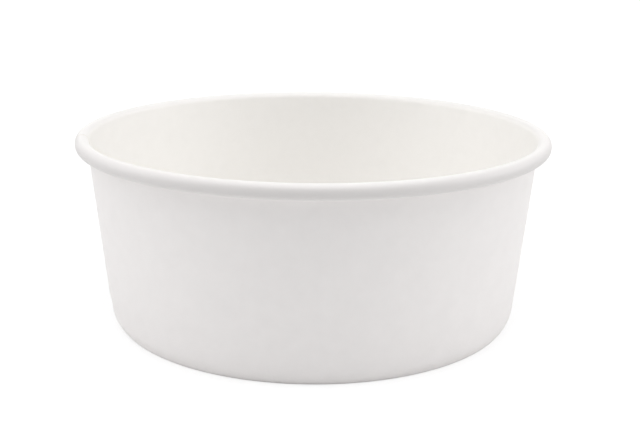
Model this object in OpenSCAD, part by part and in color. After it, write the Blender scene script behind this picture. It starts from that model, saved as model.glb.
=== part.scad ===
// Paper salad bowl: a tapered paperboard wall with a rolled rim, a lapped side
// seam and a hem folded up at the foot, which clasps the turned-down skirt of a
// separate bottom disc. The axis is +Z and the bowl stands on z = 0.

/* [Bowl] */
// Outside diameter across the rolled rim
rim_d = 150; // [142:1:170]
// Height from the table to the top of the roll
bowl_h = 60; // [35:1:90]
// Outside diameter at the foot, where the wall starts to turn inwards
base_d = 132; // [110:1:140]
// Thickness of the coated paperboard of the wall
sheet_t = 0.42; // [0.30:0.02:0.60]

/* [Rolled rim] */
// Width of the roll, across the bowl
roll_w = 4.3; // [3.6:0.1:5.5]
// Upright stretch on the roll's flanks, which makes it taller than it is wide
roll_flank = 0.45; // [0.1:0.05:1.0]
// Clearance between one turn of the roll and the next
roll_clear = 0.10; // [0.06:0.02:0.20]
// How far the cut edge runs on inside the roll, in degrees of turn
roll_tuck = 65; // [20:5:120]

/* [Foot] */
// Outside radius of the inward turn at the foot
foot_r = 8; // [5:0.5:12]
// Angle of the foot's turn, measured from upright, where the sheet is folded back
foot_turn = 40; // [30:1:55]
// Width of the ring that the pressed fold stands on
stand_w = 0.5; // [0.2:0.05:0.8]
// Upright stretch of the hem above the foot's turn
hem_rise = 1.6; // [0.5:0.1:4]
// Melted lining between the plies of the foot
film = 0.02; // [0.01:0.01:0.05]

/* [Bottom disc] */
// Thickness of the coated paperboard of the disc
disc_t = 0.42; // [0.30:0.02:0.60]
// Outside radius of the bend between the disc and its skirt
bend_r = 1.0; // [0.8:0.1:2]
// Clearance between the hem's cut edge and the start of that bend
hem_clear = 0.3; // [0.1:0.1:1]

/* [Side seam] */
// Direction of the inner cut edge, in degrees from +X
seam_az = 190; // [0:5:355]
// Overlap of the two ends of the sheet
lap_w = 7; // [4:0.5:12]
// Width over which the outer end comes back to the wall
ramp_w = 2; // [1:0.25:4]

/* [Hidden] */
$fn = 180;
board = "#F2F0EC";
// Largest turn between two points of an arc, on the small bends and on the foot
bend_step = 10;
foot_step = 5;

// Rolled rim: each half turn is tighter than the last by half of the pitch
roll_pitch = sheet_t + roll_clear;
roll_r1 = roll_w / 2;
roll_r2 = roll_r1 - roll_pitch / 2;
roll_r3 = roll_r1 - roll_pitch;
roll_top = [rim_d / 2 - roll_r1, bowl_h - roll_r1];
roll_low = roll_top + [roll_pitch / 2, -roll_flank];

// Fold at the foot: the sheet turns by 180 degrees round the skirt's lower edge
fold_r = sheet_t + film + disc_t / 2;
stand_half = asin(stand_w / 2 / fold_r);
foot_c = [base_d / 2 - foot_r, (foot_r - fold_r) * sin(foot_turn) + fold_r * cos(stand_half)];
fold_c = foot_c + (foot_r - fold_r) * [cos(foot_turn), -sin(foot_turn)];

// Taper of the wall from upright: its outer face touches the turn of the foot
// from outside and the bore of the roll from inside
to_roll = roll_top - foot_c;
taper = atan2(to_roll.x, to_roll.y) - asin((foot_r + roll_r1 - sheet_t) / norm(to_roll));
out = [cos(taper), -sin(taper)];
up = [sin(taper), cos(taper)];

// Skirt and bend of the bottom disc, seated against the wall's inner face
skirt_r = foot_r - sheet_t - film;
bend_c = foot_c + (skirt_r - bend_r) * out + (hem_rise + hem_clear) * up;
disc_top = bend_c.y + bend_r;

// Side seam, laid along the straight part of the wall; its top edge is hidden
// behind the roll, this share of the roll's lower radius below its centre
lap_hide = 0.6;
wall_foot = foot_c + foot_r * out;
lap_len = (roll_low.y - lap_hide * roll_r2 - wall_foot.y) / cos(taper);
lap_deg = lap_w / (rim_d / 2 - roll_w) * 180 / PI;
ramp_deg = ramp_w / (base_d / 2) * 180 / PI;
ramp_a = atan((sheet_t + ramp_w * ramp_w / base_d) / ramp_w);

// Points along an arc of radius r about c, from angle a0 to a1
function arc(c, r, a0, a1, step) =
    let (n = max(1, ceil(abs(a1 - a0) / step)))
    [for (i = [0:n]) let (a = a0 + (a1 - a0) * i / n) c + r * [cos(a), sin(a)]];

function reversed(list) = [for (i = [len(list) - 1:-1:0]) list[i]];

// One face of the wall's sheet, from the cut edge in the roll to the cut edge of
// the hem: d is 0 on the food side and sheet_t on the outside
function sheet_face(d) = concat(
    arc(roll_top, roll_r3 - d, 180 - roll_tuck, 180, bend_step),
    arc(roll_low, roll_r2 - d, 180, 360, bend_step),
    arc(roll_top, roll_r1 - d, 0, 90 - bend_step, bend_step),
    arc(roll_top, roll_r1 - d, 90, 180 - taper, bend_step),
    arc(foot_c, foot_r - sheet_t + d, -taper, -foot_turn, foot_step),
    arc(fold_c, fold_r - sheet_t + d, -foot_turn, -90 + stand_half, bend_step),
    arc(fold_c, fold_r - sheet_t + d, -90 - stand_half, -180 - foot_turn, bend_step),
    arc(foot_c, foot_r - 2 * fold_r + sheet_t - d, -foot_turn, -taper, foot_step),
    [foot_c + (foot_r - 2 * fold_r + sheet_t - d) * out + hem_rise * up]);

// One face of the disc's sheet, from the axis to the lower edge of the skirt: d is
// 0 on the food side and disc_t below
function disc_face(d) = concat(
    [[0, disc_top - d]],
    arc(bend_c, bend_r - d, 90, -taper, bend_step),
    arc(foot_c, skirt_r - d, -taper, -foot_turn, foot_step));

// Turns a section of the sheet about the bowl's axis
module revolve(points) rotate_extrude() polygon(points);

// Frame of the seam: X out of the wall, Y round the bowl, Z up the wall's outer face
module seam_frame()
    rotate([0, 0, seam_az]) translate([wall_foot.x, 0, wall_foot.y]) rotate([0, taper, 0])
        children();

// Outer end of the sheet, laid over the inner end; it comes back to the wall over
// the ramp. Its root lies half-way into the wall that it is sealed to
module outer_ply() {
    root = -sheet_t / 2;
    difference() {
        rotate([0, 0, seam_az - lap_deg]) rotate_extrude(angle = lap_deg + ramp_deg)
            polygon([
                wall_foot + root * out,
                wall_foot + sheet_t * out,
                wall_foot + sheet_t * out + lap_len * up,
                wall_foot + root * out + lap_len * up]);
        seam_frame() translate([sheet_t, 0, -lap_w]) rotate([0, 0, ramp_a])
            cube([2 * sheet_t, 2 * ramp_w, lap_len + 2 * lap_w]);
    }
}

// Step on the food side where the inner end stops and the outer end carries on,
// from just above the disc to just below the top of the lap
module inner_step() {
    depth = 3 * sheet_t;
    start = (disc_top - wall_foot.y) / cos(taper) + sheet_t;
    seam_frame() translate([0, 0, start]) rotate([0, 0, ramp_a]) translate([-depth, 0, 0])
        cube([depth, 2 * ramp_w, lap_len - start - sheet_t]);
}

module side_wall()
    color(board) difference() {
        union() {
            revolve(concat(sheet_face(0), reversed(sheet_face(sheet_t))));
            outer_ply();
        }
        inner_step();
    }

module bottom_disc()
    color(board) revolve(concat(disc_face(0), reversed(disc_face(disc_t))));

side_wall();
bottom_disc();
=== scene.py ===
"""Looks of a paper salad bowl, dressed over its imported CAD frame.

The wall is one sheet of coated board with a rolled rim, a lapped side seam and a hem
folded up at the foot. The bottom disc is a second sheet, whose skirt is gripped in
that hem. Everything is in metres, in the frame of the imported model.
"""

import logging
import math
from dataclasses import dataclass
from enum import Enum
from typing import Iterable, Iterator

import bpy
from mathutils import Matrix, Vector


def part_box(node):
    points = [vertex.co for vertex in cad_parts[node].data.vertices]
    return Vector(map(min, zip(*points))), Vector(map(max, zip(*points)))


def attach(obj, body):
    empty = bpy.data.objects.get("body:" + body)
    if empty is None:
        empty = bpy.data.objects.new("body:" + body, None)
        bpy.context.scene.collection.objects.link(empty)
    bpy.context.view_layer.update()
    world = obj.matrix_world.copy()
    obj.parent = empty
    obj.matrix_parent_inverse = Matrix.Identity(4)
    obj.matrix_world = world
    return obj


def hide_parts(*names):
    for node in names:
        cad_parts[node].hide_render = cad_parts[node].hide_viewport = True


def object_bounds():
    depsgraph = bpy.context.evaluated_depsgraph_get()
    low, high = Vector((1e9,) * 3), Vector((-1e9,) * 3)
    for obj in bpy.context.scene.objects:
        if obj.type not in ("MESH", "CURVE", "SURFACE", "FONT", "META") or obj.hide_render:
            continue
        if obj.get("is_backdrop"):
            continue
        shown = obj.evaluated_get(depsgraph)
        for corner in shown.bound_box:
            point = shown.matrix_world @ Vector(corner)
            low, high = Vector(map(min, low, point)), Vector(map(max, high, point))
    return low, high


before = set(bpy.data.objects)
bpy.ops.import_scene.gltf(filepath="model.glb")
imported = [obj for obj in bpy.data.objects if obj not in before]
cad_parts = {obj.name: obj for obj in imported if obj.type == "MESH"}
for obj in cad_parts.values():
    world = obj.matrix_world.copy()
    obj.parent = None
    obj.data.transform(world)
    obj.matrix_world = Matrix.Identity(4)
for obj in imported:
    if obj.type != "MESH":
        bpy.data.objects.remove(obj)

cad_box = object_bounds()
log = logging.getLogger("paper_bowl")
MM = 0.001
UPRIGHT = Vector((0, 0, 1))
SMOOTH_BELOW = math.radians(30)


class BoardFace(Enum):
    """The faces that a sheet of cup board shows; the value is its material slot."""

    FOOD = 0
    OUTSIDE = 1
    CUT = 2


def linear(colour: str) -> tuple[float, float, float, float]:
    """Turns an sRGB hex colour to the linear colour that Blender's nodes take.

    Args:
        colour: '#' and six hex digits.

    Returns:
        Red, green, blue and an alpha of 1.
    """
    parts = [int(colour[i:i + 2], 16) / 255 for i in (1, 3, 5)]
    red, green, blue = (c / 12.92 if c <= 0.04045 else ((c + 0.055) / 1.055) ** 2.4 for c in parts)
    return red, green, blue, 1.0


def add_node(tree: bpy.types.NodeTree, kind: str, settings: dict | None = None,
             links: dict | None = None) -> bpy.types.Node:
    """Adds a node with its settings and links.

    Args:
        tree: The material's or world's node tree.
        kind: Blender's name for the type of node.
        settings: Values by name; the node's own properties come before its sockets.
        links: For each input socket's name, the output socket that feeds it.

    Returns:
        The new node.
    """
    node = tree.nodes.new(kind)
    values = dict(settings or {})
    for name in [n for n in values if hasattr(node, n)]:
        setattr(node, name, values.pop(name))
    sockets = {s.name: s for s in node.inputs if s.enabled}
    for name, value in values.items():
        sockets[name].default_value = value
    for name, source in (links or {}).items():
        tree.links.new(source, sockets[name])
    return node


def output_of(node: bpy.types.Node, name: str) -> bpy.types.NodeSocket:
    """Returns the node's output socket of that name which is in use."""
    return next(s for s in node.outputs if s.name == name and s.enabled)


@dataclass(frozen=True)
class BoardFinish:
    """Bleached paperboard under an extruded polyethylene film, pressed on a chill roll.

    The film gives the eye an even satin sheen; the clumps of fibre below it show as a
    faint cloudiness, a fine grain and a slow cockle of the sheet.
    """

    name: str
    tint: str = "#FCF9F8"
    cloud_tint: str = "#F6F3F2"
    cloud_size: float = 5.0 * MM
    # Real fibre is about 0.03 mm wide; the grain is drawn this coarse so that it shows
    grain_size: float = 0.45 * MM
    grain_depth: float = 0.035 * MM
    cockle_size: float = 34 * MM
    cockle_depth: float = 0.10 * MM
    # Roughness of the film in the hollows and on the crests of the grain
    sheen_low: float = 0.42
    sheen_high: float = 0.54
    grain_low: float = 0.3
    grain_high: float = 0.7
    film_ior: float = 1.5

    def material(self) -> bpy.types.Material:
        """Makes the finish.

        Returns:
            The material, named for the finish.
        """
        made = bpy.data.materials.new(self.name)
        made.use_nodes = True
        tree = made.node_tree
        board = tree.nodes["Principled BSDF"]
        board.inputs["IOR"].default_value = self.film_ior
        place = output_of(add_node(tree, "ShaderNodeTexCoord"), "Object")
        clouds = add_node(tree, "ShaderNodeTexNoise", {
            "Scale": 1 / self.cloud_size, "Detail": 4.0, "Roughness": 0.6}, {"Vector": place})
        grain = add_node(tree, "ShaderNodeTexNoise", {
            "Scale": 1 / self.grain_size, "Detail": 2.0, "Roughness": 0.5}, {"Vector": place})
        cockle = add_node(tree, "ShaderNodeTexNoise", {
            "Scale": 1 / self.cockle_size, "Detail": 1.0, "Roughness": 0.4}, {"Vector": place})
        tone = self.tone(tree, place, output_of(clouds, "Fac"))
        sheen = add_node(tree, "ShaderNodeMapRange", {
            "From Min": self.grain_low, "From Max": self.grain_high,
            "To Min": self.sheen_low, "To Max": self.sheen_high},
            {"Value": output_of(grain, "Fac")})
        waves = add_node(tree, "ShaderNodeBump", {
            "Strength": 1.0, "Distance": self.cockle_depth}, {"Height": output_of(cockle, "Fac")})
        fibres = add_node(tree, "ShaderNodeBump", {
            "Strength": 1.0, "Distance": self.grain_depth},
            {"Height": output_of(grain, "Fac"), "Normal": output_of(waves, "Normal")})
        tree.links.new(tone, board.inputs["Base Color"])
        tree.links.new(output_of(sheen, "Result"), board.inputs["Roughness"])
        tree.links.new(output_of(fibres, "Normal"), board.inputs["Normal"])
        return made

    def tone(self, tree: bpy.types.NodeTree, place: bpy.types.NodeSocket,
             clouds: bpy.types.NodeSocket) -> bpy.types.NodeSocket:
        """Colours the board, a shade denser where its fibres clump.

        Args:
            tree: The material's nodes.
            place: Where a point of the board is.
            clouds: How loosely its fibres lie there.

        Returns:
            The output that carries the colour.
        """
        return output_of(add_node(tree, "ShaderNodeMix", {
            "data_type": "RGBA", "A": linear(self.cloud_tint), "B": linear(self.tint)},
            {"Factor": clouds}), "Result")


@dataclass(frozen=True)
class BoardFinishWithPaintedRollShade(BoardFinish):
    """The food side of the wall's board, which goes over the rim as the skin of the roll.

    The roll is painted a shade greyer than the wall, and greyest round its outer flank:
    painted shade for the darker band that the light leaves on the roll.
    """

    rim_radius: float = 75 * MM
    # Painted shade: darker tints for the roll and, darker still, its outer flank
    roll_painted_shade_tint: str = "#EBE9E7"
    flank_painted_shade_tint: str = "#E3E0DF"
    # How far in from the outside of the rim each painted shade begins and is complete
    roll_painted_shade_fade: tuple[float, float] = (4.5 * MM, 3.5 * MM)
    flank_painted_shade_fade: tuple[float, float] = (1.8 * MM, 0.4 * MM)

    def tone(self, tree: bpy.types.NodeTree, place: bpy.types.NodeSocket,
             clouds: bpy.types.NodeSocket) -> bpy.types.NodeSocket:
        """Colours the board, and paints shade over it from the wall to the roll and its flank.

        Args:
            tree: The material's nodes.
            place: Where a point of the board is.
            clouds: How loosely its fibres lie there.

        Returns:
            The output that carries the colour.
        """
        level = add_node(tree, "ShaderNodeVectorMath", {"operation": "MULTIPLY"})
        level.inputs[1].default_value = (1, 1, 0)
        tree.links.new(place, level.inputs[0])
        radius = add_node(tree, "ShaderNodeVectorMath", {"operation": "LENGTH"})
        tree.links.new(output_of(level, "Vector"), radius.inputs[0])
        tone = super().tone(tree, place, clouds)
        # Painted shade: blends to the darker tints by distance from the axis, over the roll and its flank
        for tint, (start, end) in ((self.roll_painted_shade_tint, self.roll_painted_shade_fade), (self.flank_painted_shade_tint, self.flank_painted_shade_fade)):
            share = add_node(tree, "ShaderNodeMapRange", {
                "interpolation_type": "SMOOTHSTEP", "From Min": self.rim_radius - start,
                "From Max": self.rim_radius - end}, {"Value": output_of(radius, "Value")})
            tone = output_of(add_node(tree, "ShaderNodeMix", {
                "data_type": "RGBA", "B": linear(tint)},
                {"Factor": output_of(share, "Result"), "A": tone}), "Result")
        return tone


@dataclass(frozen=True)
class CutEdgeFinish:
    """Bare fibre where the die has cut the board, between its two films.

    It gives the eye a matt, creamier line round each edge, with loose fibre ends.
    """

    name: str = "die_cut_board_edge"
    tint: str = "#F0EADF"
    shade_tint: str = "#E2D8C8"
    # Bundles of fibre ends, coarser than one fibre so that they show
    fibre_size: float = 0.12 * MM
    fibre_depth: float = 0.03 * MM
    roughness: float = 0.9

    def material(self) -> bpy.types.Material:
        """Makes the finish.

        Returns:
            The material, named for the finish.
        """
        made = bpy.data.materials.new(self.name)
        made.use_nodes = True
        tree = made.node_tree
        board = tree.nodes["Principled BSDF"]
        board.inputs["Roughness"].default_value = self.roughness
        place = output_of(add_node(tree, "ShaderNodeTexCoord"), "Object")
        fibres = add_node(tree, "ShaderNodeTexNoise", {
            "Scale": 1 / self.fibre_size, "Detail": 2.0}, {"Vector": place})
        tone = add_node(tree, "ShaderNodeMix", {
            "data_type": "RGBA", "A": linear(self.shade_tint), "B": linear(self.tint)},
            {"Factor": output_of(fibres, "Fac")})
        nap = add_node(tree, "ShaderNodeBump", {
            "Strength": 1.0, "Distance": self.fibre_depth}, {"Height": output_of(fibres, "Fac")})
        tree.links.new(output_of(tone, "Result"), board.inputs["Base Color"])
        tree.links.new(output_of(nap, "Normal"), board.inputs["Normal"])
        return made


@dataclass
class BowlForm:
    """Sizes that the wall and the disc share; the first three come from the frame."""

    rim_radius: float
    height: float
    disc_top: float
    base_radius: float = 66 * MM
    sheet: float = 0.42 * MM
    film: float = 0.02 * MM
    roll_width: float = 4.3 * MM
    foot_radius: float = 8 * MM
    foot_turn: float = 40
    stand_width: float = 0.5 * MM

    @property
    def roll_radius(self) -> float:
        """Outside radius of the roll."""
        return self.roll_width / 2

    @property
    def roll_top(self) -> Vector:
        """Centre of the roll's upper half turn."""
        return Vector((self.rim_radius - self.roll_radius, 0, self.height - self.roll_radius))

    @property
    def fold_radius(self) -> float:
        """Outside radius of the fold round the skirt's lower edge."""
        return self.sheet + self.film + self.sheet / 2

    @property
    def stand_half(self) -> float:
        """Half of the angle over which the fold is pressed flat, in degrees."""
        return math.degrees(math.asin(self.stand_width / 2 / self.fold_radius))

    @property
    def foot_centre(self) -> Vector:
        """Centre of the inward turn at the foot."""
        drop = (self.foot_radius - self.fold_radius) * math.sin(math.radians(self.foot_turn))
        lift = self.fold_radius * math.cos(math.radians(self.stand_half))
        return Vector((self.base_radius - self.foot_radius, 0, drop + lift))

    @property
    def fold_centre(self) -> Vector:
        """Centre of the fold round the skirt's lower edge."""
        turn = math.radians(self.foot_turn)
        return self.foot_centre + (self.foot_radius - self.fold_radius) * Vector(
            (math.cos(turn), 0, -math.sin(turn)))

    @property
    def taper(self) -> float:
        """Lean of the wall from upright, in degrees."""
        way = self.roll_top - self.foot_centre
        lean = math.asin((self.foot_radius + self.roll_radius - self.sheet) / way.length)
        return math.degrees(math.atan2(way.x, way.z) - lean)

    @property
    def out(self) -> Vector:
        """Direction out of the wall."""
        lean = math.radians(self.taper)
        return Vector((math.cos(lean), 0, -math.sin(lean)))

    @property
    def up(self) -> Vector:
        """Direction up the wall."""
        lean = math.radians(self.taper)
        return Vector((math.sin(lean), 0, math.cos(lean)))


class Sheet:
    """A sheet of board: a section drawn vertex by vertex, then swept round the axis."""

    def __init__(self, name: str, start: Vector) -> None:
        """Puts a small square down and closes it to the section's first vertex.

        Args:
            name: The piece's name.
            start: Place of the first vertex, in the X-Z plane.
        """
        bpy.ops.object.select_all(action="DESELECT")
        bpy.ops.mesh.primitive_plane_add(size=MM, location=start)
        self.piece = bpy.context.object
        self.piece.name = self.piece.data.name = name
        bpy.ops.object.transform_apply(location=True, rotation=True, scale=True)
        bpy.ops.object.mode_set(mode="EDIT")
        bpy.ops.mesh.select_mode(type="VERT")
        bpy.ops.mesh.select_all(action="SELECT")
        bpy.ops.mesh.merge(type="CENTER")
        self.section_count = 1

    def turn(self, centre: Vector, degrees: float, steps: int) -> None:
        """Carries the section on round an arc, from X towards Z for a positive turn."""
        bpy.ops.mesh.spin(steps=steps, angle=math.radians(degrees), center=centre, axis=(0, 1, 0))
        self.section_count += steps

    def run(self, way: Vector) -> None:
        """Carries the section straight on."""
        bpy.ops.mesh.extrude_region_move(TRANSFORM_OT_translate={"value": way})
        self.section_count += 1

    def sweep(self, sectors: Iterable[tuple[float, int]]) -> None:
        """Sweeps the whole section clockwise round the bowl's axis.

        Args:
            sectors: Angle in degrees and number of steps of each sector in turn.
        """
        bpy.ops.mesh.select_all(action="SELECT")
        for degrees, steps in sectors:
            bpy.ops.mesh.spin(steps=steps, angle=math.radians(degrees), center=(0, 0, 0), axis=(0, 0, 1))

    def places(self) -> Iterator[tuple[int, int, float, float]]:
        """Gives the number, ring, radius and height of each vertex, out of edit mode."""
        bpy.ops.object.mode_set(mode="OBJECT")
        for vertex in self.piece.data.vertices:
            radius = math.hypot(vertex.co.x, vertex.co.y)
            yield vertex.index, vertex.index // self.section_count, radius, vertex.co.z

    def select(self, members: set[int]) -> None:
        """Selects the vertices with these numbers and no others, in edit mode."""
        bpy.ops.object.mode_set(mode="OBJECT")
        mesh = self.piece.data
        for part in (mesh.vertices, mesh.edges, mesh.polygons):
            part.foreach_set("select", [False] * len(part))
        mesh.vertices.foreach_set("select", [v.index in members for v in mesh.vertices])
        bpy.ops.object.mode_set(mode="EDIT")

    def push(self, members: set[int], way: float) -> None:
        """Moves vertices along their normals.

        Args:
            members: Numbers of the vertices.
            way: How far they go from the food side outwards.
        """
        self.select(members)
        bpy.ops.transform.shrink_fatten(value=-way)

    def face_food(self, place: Vector, way: Vector) -> None:
        """Turns all faces to the food side.

        Args:
            place: A place on the sheet, with its radius as X and its height as Z.
            way: Where the food side looks there, away from the axis as X and up as Z.
        """
        bpy.ops.mesh.select_all(action="SELECT")
        bpy.ops.mesh.normals_make_consistent(inside=False)
        bpy.ops.object.mode_set(mode="OBJECT")
        probe = min(self.piece.data.polygons, key=lambda f: abs(
            math.hypot(f.center.x, f.center.y) - place.x) + abs(f.center.z - place.z))
        away = Vector((probe.center.x, probe.center.y, 0)).normalized()
        looks = Vector((probe.normal.dot(away), 0, probe.normal.z))
        bpy.ops.object.mode_set(mode="EDIT")
        if looks.dot(way) < 0:
            bpy.ops.mesh.select_all(action="SELECT")
            bpy.ops.mesh.flip_normals()

    def thicken(self, thickness: float, pressed: str = "", share: float = 0.0) -> None:
        """Gives the sheet its thickness, half of it to each side, and smooth shading.

        Args:
            thickness: Thickness of the board.
            pressed: Vertex group that is 1 on whole board and 0 on pressed board.
            share: Share of the thickness that pressed board keeps.
        """
        bpy.ops.object.mode_set(mode="OBJECT")
        wall = self.piece.modifiers.new("board", "SOLIDIFY")
        wall.thickness = thickness
        wall.offset = 0
        wall.use_even_offset = True
        wall.use_quality_normals = True
        wall.material_offset = BoardFace.OUTSIDE.value
        wall.material_offset_rim = BoardFace.CUT.value
        if pressed:
            wall.vertex_group = pressed
            wall.thickness_vertex_group = share
        bpy.ops.object.modifier_apply(modifier=wall.name)
        bpy.ops.object.shade_smooth_by_angle(angle=SMOOTH_BELOW)

    def dress(self, faces: dict[BoardFace, bpy.types.Material]) -> None:
        """Gives each face of the board its finish, before the sheet gets its thickness."""
        for face in BoardFace:
            self.piece.data.materials.append(faces[face])


@dataclass
class SideWall:
    """The wall's sheet: rolled rim, lapped side seam, turned foot and folded hem."""

    form: BowlForm
    finishes: dict[BoardFace, bpy.types.Material]
    name: str = "side_wall_sheet"
    roll_clear: float = 0.10 * MM
    roll_flank: float = 0.45 * MM
    roll_tuck: float = 65
    hem_rise: float = 1.6 * MM
    seam_azimuth: float = 190
    lap_width: float = 7 * MM
    ramp_width: float = 2 * MM
    # Steps along the section, from the cut edge in the roll to that of the hem
    tuck_steps: int = 6
    low_turn_steps: int = 12
    top_turn_steps: int = 14
    foot_steps: int = 6
    fold_steps: int = 5
    back_fold_steps: int = 8
    hem_steps: int = 5
    # Where the straight wall gets vertices: from the roll, in shares of it, from the foot
    marks_from_roll: tuple[float, ...] = (0.7 * MM, 1.3 * MM, 2.0 * MM, 3.0 * MM)
    marks_between: tuple[float, ...] = (0.2, 0.4, 0.6, 0.8)
    marks_from_foot: tuple[float, ...] = (3.6 * MM, 2.4 * MM, 1.2 * MM)
    # Steps round the bowl
    lap_steps: int = 8
    ramp_steps: int = 6
    round_steps: int = 470
    # Share of its thickness that each ply keeps where the lap is pressed into one sheet,
    # how near the wall's line counts as the wall, and the lengths along which it changes
    pressed_share: float = 0.5
    line_slack: float = 0.1 * MM
    press_foot: float = 3.4 * MM
    press_roll: float = 1.3 * MM
    press_roll_gap: float = 0.6 * MM
    # Ribs of the sealing wheel: how deep, and one on every so many rings
    knurl_depth: float = 0.18 * MM
    knurl_rings: int = 3

    def draw_section(self) -> Sheet:
        """Draws the middle of the sheet from the cut edge in the roll to that of the hem.

        Returns:
            The sheet, with its section in edit mode.
        """
        form, half = self.form, self.form.sheet / 2
        pitch = form.sheet + self.roll_clear
        first, second, third = (form.roll_radius - half - k * pitch / 2 for k in range(3))
        roll_low = form.roll_top + Vector((pitch / 2, 0, -self.roll_flank))
        start = math.radians(180 - self.roll_tuck)
        sheet = Sheet(self.name, form.roll_top + third * Vector((math.cos(start), 0, math.sin(start))))
        sheet.turn(form.roll_top, self.roll_tuck, self.tuck_steps)
        sheet.run(-self.roll_flank * UPRIGHT)
        sheet.turn(roll_low, 180, self.low_turn_steps)
        sheet.run(self.roll_flank * UPRIGHT)
        sheet.turn(form.roll_top, 180 - form.taper, self.top_turn_steps)
        top = form.roll_top - first * form.out
        foot = form.foot_centre + (form.foot_radius - half) * form.out
        marks = self.wall_marks()
        for last, mark in zip(marks, marks[1:]):
            sheet.run((mark - last) * (foot - top))
        sheet.turn(form.foot_centre, form.taper - form.foot_turn, self.foot_steps)
        fold = form.fold_radius - half
        sheet.turn(form.fold_centre, form.foot_turn - 90 + form.stand_half, self.fold_steps)
        sheet.run(Vector((-2 * fold * math.sin(math.radians(form.stand_half)), 0, 0)))
        sheet.turn(form.fold_centre, -90 - form.foot_turn + form.stand_half, self.back_fold_steps)
        sheet.turn(form.foot_centre, form.foot_turn - form.taper, self.hem_steps)
        sheet.run(self.hem_rise / 2 * form.up)
        sheet.run(self.hem_rise / 2 * form.up)
        return sheet

    def wall_marks(self) -> list[float]:
        """Shares of the way down the wall at which the section gets a vertex."""
        length = (self.form.roll_top - self.form.foot_centre).length
        return [0.0, *(mark / length for mark in self.marks_from_roll), *self.marks_between,
                *(1 - mark / length for mark in self.marks_from_foot), 1.0]

    def lap_share(self, radius: float, height: float) -> float:
        """How far the lap at a place is laid on top rather than pressed into one sheet.

        Args:
            radius: Radius of the place.
            height: Height of the place.

        Returns:
            1 on the wall, 0 in the roll and the foot, and in between where it changes.
        """
        form = self.form
        foot = form.foot_centre + (form.foot_radius - form.sheet / 2) * form.out
        top = form.roll_top - (form.roll_radius - form.sheet / 2) * form.out
        way = Vector((radius, 0, height)) - foot
        if abs(way.dot(form.out)) > self.line_slack:
            return 0.0
        along, length = way.dot(form.up), (top - foot).length
        above_foot = along / self.press_foot
        below_roll = (length - self.press_roll_gap - along) / self.press_roll
        return max(0.0, min(1.0, above_foot, below_roll))

    def lap_layers(self) -> dict[int, tuple[float, float, float]]:
        """Where each ring of the lap lies.

        Returns:
            For a ring's number: 1 in the inner end, else 0; how far the outer end has
            come up its ramp on the wall; and 1 where it is pressed on the inner end.
        """
        last = 2 * self.lap_steps + self.ramp_steps + self.round_steps
        rings = {k: (1.0, 0.0, 0.0) for k in range(self.lap_steps + 1)}
        for k in range(self.lap_steps + self.round_steps, last + 1):
            ramp = min(1.0, (k - self.lap_steps - self.round_steps) / self.ramp_steps)
            rings[k] = (0.0, ramp * ramp * (3 - 2 * ramp), float(ramp == 1))
        return rings

    def lay_lap(self, sheet: Sheet) -> None:
        """Lays the outer end over the inner one, and presses both in roll and foot.

        The vertex group says where the board keeps its whole thickness. Where the lap is
        pressed, the ply that shows is flush with the sheet and the other lies behind it.
        """
        thick, layers = self.form.sheet, self.lap_layers()
        flush = (1 - self.pressed_share) / 2
        tucked = self.pressed_share - flush + self.form.film / thick
        moves: dict[float, set[int]] = {}
        places = list(sheet.places())
        whole = sheet.piece.vertex_groups.new(name="whole_board")
        for number, ring, radius, height in places:
            inner, laid, pressed = layers.get(ring, (0.0, 0.0, 0.0))
            share = self.lap_share(radius, height)
            over, under = (tucked, flush) if height > self.form.height / 2 else (flush, tucked)
            way = laid * share * (thick + self.form.film)
            way += (pressed * over - inner * under) * (1 - share) * thick
            if way:
                moves.setdefault(round(way / MM, 4), set()).add(number)
            whole.add([number], 1 - (inner + pressed) * (1 - share), "REPLACE")
        for way, members in moves.items():
            sheet.push(members, way * MM)

    def knurl_hem(self, sheet: Sheet) -> None:
        """Presses the sealing wheel's ribs into the hem."""
        form = self.form

        def in_hem(radius: float, height: float) -> bool:
            """Says whether a place is in the ply behind the skirt, above the fold."""
            way = Vector((radius, 0, height)) - form.foot_centre
            reach = way.dot(form.out) if way.dot(form.up) > 0 else way.length
            return reach < form.foot_radius - form.fold_radius and height > form.fold_centre.z + form.sheet

        sheet.select({number for number, ring, radius, height in sheet.places()
                      if ring % self.knurl_rings == 0 and height < form.disc_top
                      and in_hem(radius, height)})
        inwards = 1 - self.knurl_depth / form.fold_centre.x
        bpy.ops.transform.resize(value=(inwards, inwards, 1), center_override=(0, 0, 0))

    def build(self) -> bpy.types.Object:
        """Makes the wall and hangs it on the frame.

        Returns:
            The finished piece.
        """
        sheet = self.draw_section()
        radius = self.form.rim_radius - self.form.roll_width
        lap = math.degrees(self.lap_width / radius)
        ramp = math.degrees(self.ramp_width / self.form.base_radius)
        # The inner end comes first, and the outer end lands on it after a whole round
        sheet.sweep([(lap, self.lap_steps), (360 - lap - ramp, self.round_steps),
                     (ramp, self.ramp_steps), (lap, self.lap_steps)])
        sheet.face_food(Vector((self.form.base_radius, 0, self.form.height / 4)), -self.form.out)
        self.lay_lap(sheet)
        self.knurl_hem(sheet)
        bpy.ops.mesh.select_all(action="SELECT")
        bpy.ops.transform.rotate(value=-math.radians(self.seam_azimuth), orient_axis="Z",
                                 center_override=(0, 0, 0))
        sheet.dress(self.finishes)
        sheet.thicken(self.form.sheet, "whole_board", self.pressed_share)
        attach(sheet.piece, "root")
        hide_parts("side_wall")
        return sheet.piece


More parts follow.
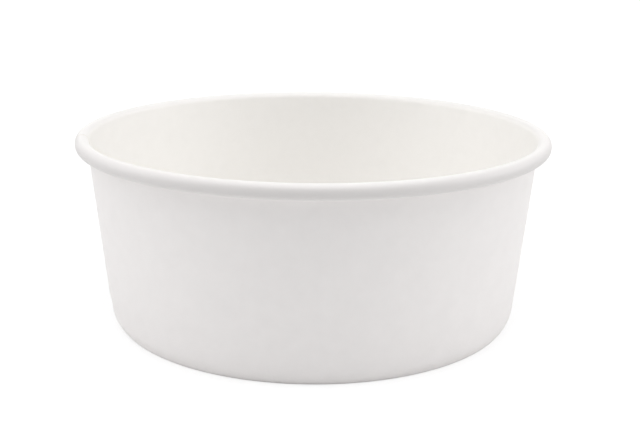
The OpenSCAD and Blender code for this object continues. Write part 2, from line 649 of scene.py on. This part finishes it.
@dataclass
class BottomDisc:
    """The bottom's sheet: a flat disc with a bend and a skirt turned down round it."""

    form: BowlForm
    finishes: dict[BoardFace, bpy.types.Material]
    name: str = "bottom_disc_sheet"
    bend_radius: float = 1.0 * MM
    # How far the middle hangs below the edge
    sag: float = 0.25 * MM
    flat_steps: int = 10
    bend_steps: int = 8
    skirt_steps: int = 6
    round_steps: int = 240
    merge_below: float = 0.005 * MM

    def draw_section(self) -> Sheet:
        """Draws the middle of the sheet from the axis to the skirt's lower edge.

        Returns:
            The sheet, with its section in edit mode.
        """
        form, half = self.form, self.form.sheet / 2
        skirt = form.foot_radius - form.sheet - form.film
        side = form.foot_centre + (skirt - self.bend_radius) * form.out
        rise = (form.disc_top - self.bend_radius - side.z) / form.up.z
        bend = side + rise * form.up
        level = form.disc_top - half
        sheet = Sheet(self.name, Vector((0, 0, level - self.sag)))
        marks = [math.sin(k / self.flat_steps * math.pi / 2) for k in range(self.flat_steps + 1)]
        dips = [self.sag * (1 - m * m) ** 2 for m in marks]
        for (last, dip), (mark, next_dip) in zip(zip(marks, dips), zip(marks[1:], dips[1:])):
            sheet.run(Vector(((mark - last) * bend.x, 0, dip - next_dip)))
        sheet.turn(bend, -90 - form.taper, self.bend_steps)
        sheet.run(-rise * form.up)
        sheet.turn(form.foot_centre, form.taper - form.foot_turn, self.skirt_steps)
        return sheet

    def build(self) -> bpy.types.Object:
        """Makes the disc and hangs it on the frame.

        Returns:
            The finished piece.
        """
        sheet = self.draw_section()
        sheet.sweep([(360, self.round_steps)])
        bpy.ops.mesh.select_all(action="SELECT")
        bpy.ops.mesh.remove_doubles(threshold=self.merge_below)
        sheet.face_food(Vector((self.form.base_radius / 2, 0, self.form.disc_top)), UPRIGHT)
        sheet.dress(self.finishes)
        sheet.thicken(self.form.sheet)
        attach(sheet.piece, "root")
        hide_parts("bottom_disc")
        return sheet.piece


@dataclass
class StudioFloor:
    """Seamless white paper under the bowl; the camera sees it white but for the shadow."""

    name: str = "studio_floor"
    width: float = 12.0
    tint: str = "#EDEDED"
    roughness: float = 0.9
    # To the camera the paper is greyer and gives off light of its own, all white from
    # the far radius on, so that the shadow by the bowl shows and the rest is white
    shown_tint: str = "#9A9A9A"
    near_lift: float = 0.72
    far_lift: float = 1.0
    near: float = 0.20
    far: float = 0.80

    def material(self) -> bpy.types.Material:
        """Makes the floor's paper: plain in the light it gives back, lifted to the eye."""
        made = bpy.data.materials.new("white_background_paper")
        made.use_nodes = True
        tree = made.node_tree
        paper = tree.nodes["Principled BSDF"]
        paper.inputs["Roughness"].default_value = self.roughness
        paper.inputs["Specular IOR Level"].default_value = 0.0
        paper.inputs["Emission Color"].default_value = (1, 1, 1, 1)
        path = add_node(tree, "ShaderNodeLightPath")
        seen = output_of(path, "Is Camera Ray")
        tone = add_node(tree, "ShaderNodeMix", {
            "data_type": "RGBA", "A": linear(self.tint), "B": linear(self.shown_tint)},
            {"Factor": seen})
        place = output_of(add_node(tree, "ShaderNodeTexCoord"), "Object")
        distance = add_node(tree, "ShaderNodeVectorMath", {"operation": "LENGTH"})
        tree.links.new(place, distance.inputs[0])
        fade = add_node(tree, "ShaderNodeMapRange", {
            "interpolation_type": "SMOOTHSTEP", "From Min": self.near, "From Max": self.far,
            "To Min": self.near_lift, "To Max": self.far_lift}, {"Value": output_of(distance, "Value")})
        lift = add_node(tree, "ShaderNodeMath", {"operation": "MULTIPLY"})
        tree.links.new(seen, lift.inputs[0])
        tree.links.new(output_of(fade, "Result"), lift.inputs[1])
        tree.links.new(output_of(tone, "Result"), paper.inputs["Base Color"])
        tree.links.new(output_of(lift, "Value"), paper.inputs["Emission Strength"])
        return made

    def build(self) -> bpy.types.Object:
        """Lays the floor at z = 0.

        Returns:
            The floor, marked as stage.
        """
        bpy.ops.object.select_all(action="DESELECT")
        bpy.ops.mesh.primitive_plane_add(size=self.width, location=(0, 0, 0))
        floor = bpy.context.object
        floor.name = floor.data.name = self.name
        floor.data.materials.append(self.material())
        floor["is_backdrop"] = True
        return floor


@dataclass(frozen=True)
class Softbox:
    """A square lamp behind white cloth, turned to the bowl."""

    name: str
    place: tuple[float, float, float]
    width: float
    power: float

    def build(self, aim: Vector) -> bpy.types.Object:
        """Hangs the lamp.

        Args:
            aim: Point that the lamp looks at.

        Returns:
            The lamp.
        """
        bpy.ops.object.select_all(action="DESELECT")
        bpy.ops.object.light_add(type="AREA", location=self.place)
        lamp = bpy.context.object
        lamp.name = lamp.data.name = self.name
        lamp.data.size = self.width
        lamp.data.energy = self.power
        lamp.rotation_euler = (aim - Vector(self.place)).to_track_quat("-Z", "Y").to_euler()
        lamp.visible_camera = False
        return lamp


@dataclass
class Studio:
    """Soft light from all round and above, and a white surrounding to the eye."""

    ambient: float = 0.32
    # Name, place and width in metres, and power in watts
    softboxes: tuple[Softbox, ...] = (
        Softbox("left_box", (-1.10, 0.0, 1.05), 1.1, 5.0),
        Softbox("right_box", (1.10, 0.0, 1.05), 1.1, 4.0),
        Softbox("left_low_box", (-1.45, 0.0, 0.30), 1.0, 3.6),
        Softbox("right_low_box", (1.45, 0.0, 0.30), 1.0, 5.1),
        Softbox("overhead_box", (0.0, 0.0, 1.30), 1.0, 7.0),
        Softbox("front_top_box", (0.0, -0.55, 1.20), 0.8, 3.0),
    )

    def light_world(self) -> None:
        """Lights from the surrounding; camera, glossy and clear rays see it white."""
        world = bpy.data.worlds.new("studio_surround")
        bpy.context.scene.world = world
        world.use_nodes = True
        tree = world.node_tree
        sky = tree.nodes["Background"]
        sky.inputs["Color"].default_value = (1, 1, 1, 1)
        path = add_node(tree, "ShaderNodeLightPath")
        seen = add_node(tree, "ShaderNodeMath", {"operation": "MAXIMUM"})
        tree.links.new(output_of(path, "Is Camera Ray"), seen.inputs[0])
        tree.links.new(output_of(path, "Is Glossy Ray"), seen.inputs[1])
        clear = add_node(tree, "ShaderNodeMath", {"operation": "MAXIMUM"})
        tree.links.new(output_of(seen, "Value"), clear.inputs[0])
        tree.links.new(output_of(path, "Is Transmission Ray"), clear.inputs[1])
        strength = add_node(tree, "ShaderNodeMapRange", {
            "To Min": self.ambient, "To Max": 1.0}, {"Value": output_of(clear, "Value")})
        tree.links.new(output_of(strength, "Result"), sky.inputs["Strength"])

    def build(self, aim: Vector) -> None:
        """Lights the world and hangs the lamps.

        Args:
            aim: Point that the lamps look at.
        """
        self.light_world()
        for softbox in self.softboxes:
            softbox.build(aim)


@dataclass
class ProductCamera:
    """The photograph's camera: in front of the bowl, a little above it."""

    # Its place, as seen from a point on the axis: metres, degrees, metres
    distance: float = 0.350
    elevation: float = 15.92
    aim_height: float = 0.030
    # Its turns in degrees, and its lens and clipping
    tilt: float = 16.04
    yaw: float = 0.39
    roll: float = 0.51
    lens: float = 59.85
    clip: tuple[float, float] = (0.01, 50)

    def build(self) -> bpy.types.Object:
        """Sets the camera up.

        Returns:
            The camera, which is the scene's own.
        """
        rise = math.radians(self.elevation)
        place = Vector((0, -self.distance * math.cos(rise),
                        self.aim_height + self.distance * math.sin(rise)))
        bpy.ops.object.select_all(action="DESELECT")
        bpy.ops.object.camera_add(location=place)
        camera = bpy.context.object
        camera.name = camera.data.name = "product_camera"
        camera.data.lens = self.lens
        camera.matrix_world = (
            Matrix.Translation(place)
            @ Matrix.Rotation(-math.radians(self.yaw), 4, "Z")
            @ Matrix.Rotation(math.radians(90 - self.tilt), 4, "X")
            @ Matrix.Rotation(math.radians(self.roll), 4, "Z"))
        camera.data.clip_start, camera.data.clip_end = self.clip
        bpy.context.scene.camera = camera
        return camera


def wall_finishes(form: BowlForm) -> dict[BoardFace, bpy.types.Material]:
    """Makes the finishes of the wall's faces; its outside is the duller face of the board, and the food
    side is tinted a touch whiter, partly the film face and partly painted light for the inside of the
    bowl.
    """
    # Partly painted light: the food side's tint is set whiter to lift the inside of the bowl; its roll
    # carries painted shade
    food = BoardFinishWithPaintedRollShade("film_coated_board_food_side_painted_light_and_shade", tint="#FEFCF9", cloud_tint="#F7F5F2",
                             rim_radius=form.rim_radius)
    outside = BoardFinish("film_coated_board_outside", sheen_low=0.5, sheen_high=0.62,
                          grain_depth=0.05 * MM)
    return {BoardFace.FOOD: food.material(), BoardFace.OUTSIDE: outside.material(),
            BoardFace.CUT: CutEdgeFinish().material()}


def disc_finishes(wall: dict[BoardFace, bpy.types.Material]) -> dict[BoardFace, bpy.types.Material]:
    """Makes the finishes of the disc's faces; its food side is painted a less white board, painted shade
    that keeps its upward face below white under the lamps.

    Args:
        wall: The finishes of the wall, whose outside and cut edge the disc shares.

    Returns:
        A material for each face of the board.
    """
    # Painted shade: the disc's food side is tinted darker so that, facing the overhead lamps, it does not
    # clip to white
    painted_shade_bottom = BoardFinish("film_coated_bottom_board_painted_shade", tint="#E9E8E6", cloud_tint="#E2E1DE")
    return {**wall, BoardFace.FOOD: painted_shade_bottom.material()}


def report(piece: bpy.types.Object) -> None:
    """Logs a piece's name and its number of faces."""
    log.info("%s: %d faces", piece.name, len(piece.data.polygons))


def main() -> None:
    """Builds the bowl and its studio in order."""
    logging.basicConfig(level=logging.INFO, format="%(message)s")
    ProductCamera().build()
    wall_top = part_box("side_wall")[1]
    disc_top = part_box("bottom_disc")[1]
    form = BowlForm(rim_radius=wall_top.x, height=wall_top.z, disc_top=disc_top.z)
    finishes = wall_finishes(form)
    report(SideWall(form, finishes).build())
    report(BottomDisc(form, disc_finishes(finishes)).build())
    report(StudioFloor().build())
    Studio().build(Vector((0, 0, form.height / 2)))
    bpy.context.scene.view_settings.view_transform = "Standard"
    boxes = [[list(corner) for corner in box] for box in (cad_box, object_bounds())]


if __name__ == "__main__":
    main()
